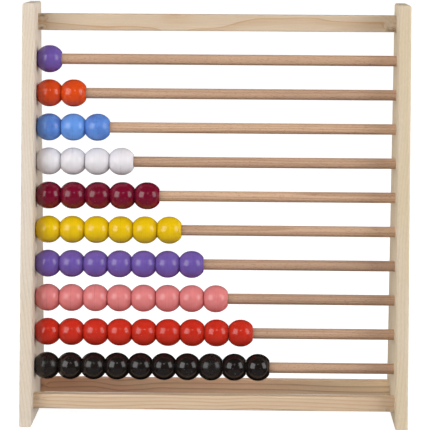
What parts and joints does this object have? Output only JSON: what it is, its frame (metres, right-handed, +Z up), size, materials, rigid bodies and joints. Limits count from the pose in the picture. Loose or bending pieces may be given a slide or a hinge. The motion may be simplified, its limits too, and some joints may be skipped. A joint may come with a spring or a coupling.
{
  "type": "step abacus",
  "caption": "Wooden counting frame: side boards with leaning front edges, rails, rods, and one more painted bead on each rod from the top down.",
  "frame": {"origin": "on the surface that the abacus stands on, in the middle of its footprint", "axes": "+X to the right of a person facing the front, +Y away from them, +Z up"},
  "size_m": [0.29, 0.09, 0.313],
  "materials": {
    "upright_wood": "planed pale softwood, clear sealed",
    "rail_wood": "planed softwood with strong grain lines, clear sealed",
    "rod_wood": "turned beech dowel, bare",
    "bead_purple": "gloss paint on turned wood",
    "bead_orange": "gloss paint on turned wood",
    "bead_blue": "gloss paint on turned wood",
    "bead_white": "gloss paint on turned wood",
    "bead_maroon": "gloss paint on turned wood",
    "bead_yellow": "gloss paint on turned wood",
    "bead_pink": "gloss paint on turned wood",
    "bead_red": "gloss paint on turned wood",
    "bead_black": "gloss paint on turned wood"
  },
  "bodies": {
    "frame": {"left_upright": "upright_wood", "right_upright": "upright_wood", "top_rail": "rail_wood", "lower_rails": "rail_wood", "rods": "rod_wood"},
    "row_01_bead_1": {"row_01_bead_1": "bead_purple"},
    "row_02_bead_1": {"row_02_bead_1": "bead_orange"},
    "row_02_bead_2": {"row_02_bead_2": "bead_orange"},
    "row_03_bead_1": {"row_03_bead_1": "bead_blue"},
    "row_03_bead_2": {"row_03_bead_2": "bead_blue"},
    "row_03_bead_3": {"row_03_bead_3": "bead_blue"},
    "row_04_bead_1": {"row_04_bead_1": "bead_white"},
    "row_04_bead_2": {"row_04_bead_2": "bead_white"},
    "row_04_bead_3": {"row_04_bead_3": "bead_white"},
    "row_04_bead_4": {"row_04_bead_4": "bead_white"},
    "row_05_bead_1": {"row_05_bead_1": "bead_maroon"},
    "row_05_bead_2": {"row_05_bead_2": "bead_maroon"},
    "row_05_bead_3": {"row_05_bead_3": "bead_maroon"},
    "row_05_bead_4": {"row_05_bead_4": "bead_maroon"},
    "row_05_bead_5": {"row_05_bead_5": "bead_maroon"},
    "row_06_bead_1": {"row_06_bead_1": "bead_yellow"},
    "row_06_bead_2": {"row_06_bead_2": "bead_yellow"},
    "row_06_bead_3": {"row_06_bead_3": "bead_yellow"},
    "row_06_bead_4": {"row_06_bead_4": "bead_yellow"},
    "row_06_bead_5": {"row_06_bead_5": "bead_yellow"},
    "row_06_bead_6": {"row_06_bead_6": "bead_yellow"},
    "row_07_bead_1": {"row_07_bead_1": "bead_purple"},
    "row_07_bead_2": {"row_07_bead_2": "bead_purple"},
    "row_07_bead_3": {"row_07_bead_3": "bead_purple"},
    "row_07_bead_4": {"row_07_bead_4": "bead_purple"},
    "row_07_bead_5": {"row_07_bead_5": "bead_purple"},
    "row_07_bead_6": {"row_07_bead_6": "bead_purple"},
    "row_07_bead_7": {"row_07_bead_7": "bead_purple"},
    "row_08_bead_1": {"row_08_bead_1": "bead_pink"},
    "row_08_bead_2": {"row_08_bead_2": "bead_pink"},
    "row_08_bead_3": {"row_08_bead_3": "bead_pink"},
    "row_08_bead_4": {"row_08_bead_4": "bead_pink"},
    "row_08_bead_5": {"row_08_bead_5": "bead_pink"},
    "row_08_bead_6": {"row_08_bead_6": "bead_pink"},
    "row_08_bead_7": {"row_08_bead_7": "bead_pink"},
    "row_08_bead_8": {"row_08_bead_8": "bead_pink"},
    "row_09_bead_1": {"row_09_bead_1": "bead_red"},
    "row_09_bead_2": {"row_09_bead_2": "bead_red"},
    "row_09_bead_3": {"row_09_bead_3": "bead_red"},
    "row_09_bead_4": {"row_09_bead_4": "bead_red"},
    "row_09_bead_5": {"row_09_bead_5": "bead_red"},
    "row_09_bead_6": {"row_09_bead_6": "bead_red"},
    "row_09_bead_7": {"row_09_bead_7": "bead_red"},
    "row_09_bead_8": {"row_09_bead_8": "bead_red"},
    "row_09_bead_9": {"row_09_bead_9": "bead_red"},
    "row_10_bead_1": {"row_10_bead_1": "bead_black"},
    "row_10_bead_2": {"row_10_bead_2": "bead_black"},
    "row_10_bead_3": {"row_10_bead_3": "bead_black"},
    "row_10_bead_4": {"row_10_bead_4": "bead_black"},
    "row_10_bead_5": {"row_10_bead_5": "bead_black"},
    "row_10_bead_6": {"row_10_bead_6": "bead_black"},
    "row_10_bead_7": {"row_10_bead_7": "bead_black"},
    "row_10_bead_8": {"row_10_bead_8": "bead_black"},
    "row_10_bead_9": {"row_10_bead_9": "bead_black"},
    "row_10_bead_10": {"row_10_bead_10": "bead_black"}
  },
  "joints": [
    {"name": "row_01_bead_1_slide", "type": "slide", "parent": "frame", "child": "row_01_bead_1", "axis": [1, 0, 0], "range_m": [0, 0.2524]},
    {"name": "row_02_bead_1_slide", "type": "slide", "parent": "frame", "child": "row_02_bead_1", "axis": [1, 0, 0], "range_m": [0, 0.1169]},
    {"name": "row_02_bead_2_slide", "type": "slide", "parent": "row_02_bead_1", "child": "row_02_bead_2", "axis": [1, 0, 0], "range_m": [0, 0.1169]},
    {"name": "row_03_bead_1_slide", "type": "slide", "parent": "frame", "child": "row_03_bead_1", "axis": [1, 0, 0], "range_m": [0, 0.0719]},
    {"name": "row_03_bead_2_slide", "type": "slide", "parent": "row_03_bead_1", "child": "row_03_bead_2", "axis": [1, 0, 0], "range_m": [0, 0.0719]},
    {"name": "row_03_bead_3_slide", "type": "slide", "parent": "row_03_bead_2", "child": "row_03_bead_3", "axis": [1, 0, 0], "range_m": [0, 0.0719]},
    {"name": "row_04_bead_1_slide", "type": "slide", "parent": "frame", "child": "row_04_bead_1", "axis": [1, 0, 0], "range_m": [0, 0.0493]},
    {"name": "row_04_bead_2_slide", "type": "slide", "parent": "row_04_bead_1", "child": "row_04_bead_2", "axis": [1, 0, 0], "range_m": [0, 0.0493]},
    {"name": "row_04_bead_3_slide", "type": "slide", "parent": "row_04_bead_2", "child": "row_04_bead_3", "axis": [1, 0, 0], "range_m": [0, 0.0493]},
    {"name": "row_04_bead_4_slide", "type": "slide", "parent": "row_04_bead_3", "child": "row_04_bead_4", "axis": [1, 0, 0], "range_m": [0, 0.0493]},
    {"name": "row_05_bead_1_slide", "type": "slide", "parent": "frame", "child": "row_05_bead_1", "axis": [1, 0, 0], "range_m": [0, 0.0355]},
    {"name": "row_05_bead_2_slide", "type": "slide", "parent": "row_05_bead_1", "child": "row_05_bead_2", "axis": [1, 0, 0], "range_m": [0, 0.0355]},
    {"name": "row_05_bead_3_slide", "type": "slide", "parent": "row_05_bead_2", "child": "row_05_bead_3", "axis": [1, 0, 0], "range_m": [0, 0.0355]},
    {"name": "row_05_bead_4_slide", "type": "slide", "parent": "row_05_bead_3", "child": "row_05_bead_4", "axis": [1, 0, 0], "range_m": [0, 0.0355]},
    {"name": "row_05_bead_5_slide", "type": "slide", "parent": "row_05_bead_4", "child": "row_05_bead_5", "axis": [1, 0, 0], "range_m": [0, 0.0355]},
    {"name": "row_06_bead_1_slide", "type": "slide", "parent": "frame", "child": "row_06_bead_1", "axis": [1, 0, 0], "range_m": [0, 0.0268]},
    {"name": "row_06_bead_2_slide", "type": "slide", "parent": "row_06_bead_1", "child": "row_06_bead_2", "axis": [1, 0, 0], "range_m": [0, 0.0268]},
    {"name": "row_06_bead_3_slide", "type": "slide", "parent": "row_06_bead_2", "child": "row_06_bead_3", "axis": [1, 0, 0], "range_m": [0, 0.0268]},
    {"name": "row_06_bead_4_slide", "type": "slide", "parent": "row_06_bead_3", "child": "row_06_bead_4", "axis": [1, 0, 0], "range_m": [0, 0.0268]},
    {"name": "row_06_bead_5_slide", "type": "slide", "parent": "row_06_bead_4", "child": "row_06_bead_5", "axis": [1, 0, 0], "range_m": [0, 0.0268]},
    {"name": "row_06_bead_6_slide", "type": "slide", "parent": "row_06_bead_5", "child": "row_06_bead_6", "axis": [1, 0, 0], "range_m": [0, 0.0268]},
    {"name": "row_07_bead_1_slide", "type": "slide", "parent": "frame", "child": "row_07_bead_1", "axis": [1, 0, 0], "range_m": [0, 0.0205]},
    {"name": "row_07_bead_2_slide", "type": "slide", "parent": "row_07_bead_1", "child": "row_07_bead_2", "axis": [1, 0, 0], "range_m": [0, 0.0205]},
    {"name": "row_07_bead_3_slide", "type": "slide", "parent": "row_07_bead_2", "child": "row_07_bead_3", "axis": [1, 0, 0], "range_m": [0, 0.0205]},
    {"name": "row_07_bead_4_slide", "type": "slide", "parent": "row_07_bead_3", "child": "row_07_bead_4", "axis": [1, 0, 0], "range_m": [0, 0.0205]},
    {"name": "row_07_bead_5_slide", "type": "slide", "parent": "row_07_bead_4", "child": "row_07_bead_5", "axis": [1, 0, 0], "range_m": [0, 0.0205]},
    {"name": "row_07_bead_6_slide", "type": "slide", "parent": "row_07_bead_5", "child": "row_07_bead_6", "axis": [1, 0, 0], "range_m": [0, 0.0205]},
    {"name": "row_07_bead_7_slide", "type": "slide", "parent": "row_07_bead_6", "child": "row_07_bead_7", "axis": [1, 0, 0], "range_m": [0, 0.0205]},
    {"name": "row_08_bead_1_slide", "type": "slide", "parent": "frame", "child": "row_08_bead_1", "axis": [1, 0, 0], "range_m": [0, 0.0156]},
    {"name": "row_08_bead_2_slide", "type": "slide", "parent": "row_08_bead_1", "child": "row_08_bead_2", "axis": [1, 0, 0], "range_m": [0, 0.0156]},
    {"name": "row_08_bead_3_slide", "type": "slide", "parent": "row_08_bead_2", "child": "row_08_bead_3", "axis": [1, 0, 0], "range_m": [0, 0.0156]},
    {"name": "row_08_bead_4_slide", "type": "slide", "parent": "row_08_bead_3", "child": "row_08_bead_4", "axis": [1, 0, 0], "range_m": [0, 0.0156]},
    {"name": "row_08_bead_5_slide", "type": "slide", "parent": "row_08_bead_4", "child": "row_08_bead_5", "axis": [1, 0, 0], "range_m": [0, 0.0156]},
    {"name": "row_08_bead_6_slide", "type": "slide", "parent": "row_08_bead_5", "child": "row_08_bead_6", "axis": [1, 0, 0], "range_m": [0, 0.0156]},
    {"name": "row_08_bead_7_slide", "type": "slide", "parent": "row_08_bead_6", "child": "row_08_bead_7", "axis": [1, 0, 0], "range_m": [0, 0.0156]},
    {"name": "row_08_bead_8_slide", "type": "slide", "parent": "row_08_bead_7", "child": "row_08_bead_8", "axis": [1, 0, 0], "range_m": [0, 0.0156]},
    {"name": "row_09_bead_1_slide", "type": "slide", "parent": "frame", "child": "row_09_bead_1", "axis": [1, 0, 0], "range_m": [0, 0.0118]},
    {"name": "row_09_bead_2_slide", "type": "slide", "parent": "row_09_bead_1", "child": "row_09_bead_2", "axis": [1, 0, 0], "range_m": [0, 0.0118]},
    {"name": "row_09_bead_3_slide", "type": "slide", "parent": "row_09_bead_2", "child": "row_09_bead_3", "axis": [1, 0, 0], "range_m": [0, 0.0118]},
    {"name": "row_09_bead_4_slide", "type": "slide", "parent": "row_09_bead_3", "child": "row_09_bead_4", "axis": [1, 0, 0], "range_m": [0, 0.0118]},
    {"name": "row_09_bead_5_slide", "type": "slide", "parent": "row_09_bead_4", "child": "row_09_bead_5", "axis": [1, 0, 0], "range_m": [0, 0.0118]},
    {"name": "row_09_bead_6_slide", "type": "slide", "parent": "row_09_bead_5", "child": "row_09_bead_6", "axis": [1, 0, 0], "range_m": [0, 0.0118]},
    {"name": "row_09_bead_7_slide", "type": "slide", "parent": "row_09_bead_6", "child": "row_09_bead_7", "axis": [1, 0, 0], "range_m": [0, 0.0118]},
    {"name": "row_09_bead_8_slide", "type": "slide", "parent": "row_09_bead_7", "child": "row_09_bead_8", "axis": [1, 0, 0], "range_m": [0, 0.0118]},
    {"name": "row_09_bead_9_slide", "type": "slide", "parent": "row_09_bead_8", "child": "row_09_bead_9", "axis": [1, 0, 0], "range_m": [0, 0.0118]},
    {"name": "row_10_bead_1_slide", "type": "slide", "parent": "frame", "child": "row_10_bead_1", "axis": [1, 0, 0], "range_m": [0, 0.0093]},
    {"name": "row_10_bead_2_slide", "type": "slide", "parent": "row_10_bead_1", "child": "row_10_bead_2", "axis": [1, 0, 0], "range_m": [0, 0.0093]},
    {"name": "row_10_bead_3_slide", "type": "slide", "parent": "row_10_bead_2", "child": "row_10_bead_3", "axis": [1, 0, 0], "range_m": [0, 0.0093]},
    {"name": "row_10_bead_4_slide", "type": "slide", "parent": "row_10_bead_3", "child": "row_10_bead_4", "axis": [1, 0, 0], "range_m": [0, 0.0093]},
    {"name": "row_10_bead_5_slide", "type": "slide", "parent": "row_10_bead_4", "child": "row_10_bead_5", "axis": [1, 0, 0], "range_m": [0, 0.0093]},
    {"name": "row_10_bead_6_slide", "type": "slide", "parent": "row_10_bead_5", "child": "row_10_bead_6", "axis": [1, 0, 0], "range_m": [0, 0.0093]},
    {"name": "row_10_bead_7_slide", "type": "slide", "parent": "row_10_bead_6", "child": "row_10_bead_7", "axis": [1, 0, 0], "range_m": [0, 0.0093]},
    {"name": "row_10_bead_8_slide", "type": "slide", "parent": "row_10_bead_7", "child": "row_10_bead_8", "axis": [1, 0, 0], "range_m": [0, 0.0093]},
    {"name": "row_10_bead_9_slide", "type": "slide", "parent": "row_10_bead_8", "child": "row_10_bead_9", "axis": [1, 0, 0], "range_m": [0, 0.0093]},
    {"name": "row_10_bead_10_slide", "type": "slide", "parent": "row_10_bead_9", "child": "row_10_bead_10", "axis": [1, 0, 0], "range_m": [0, 0.0093]}
  ]
}
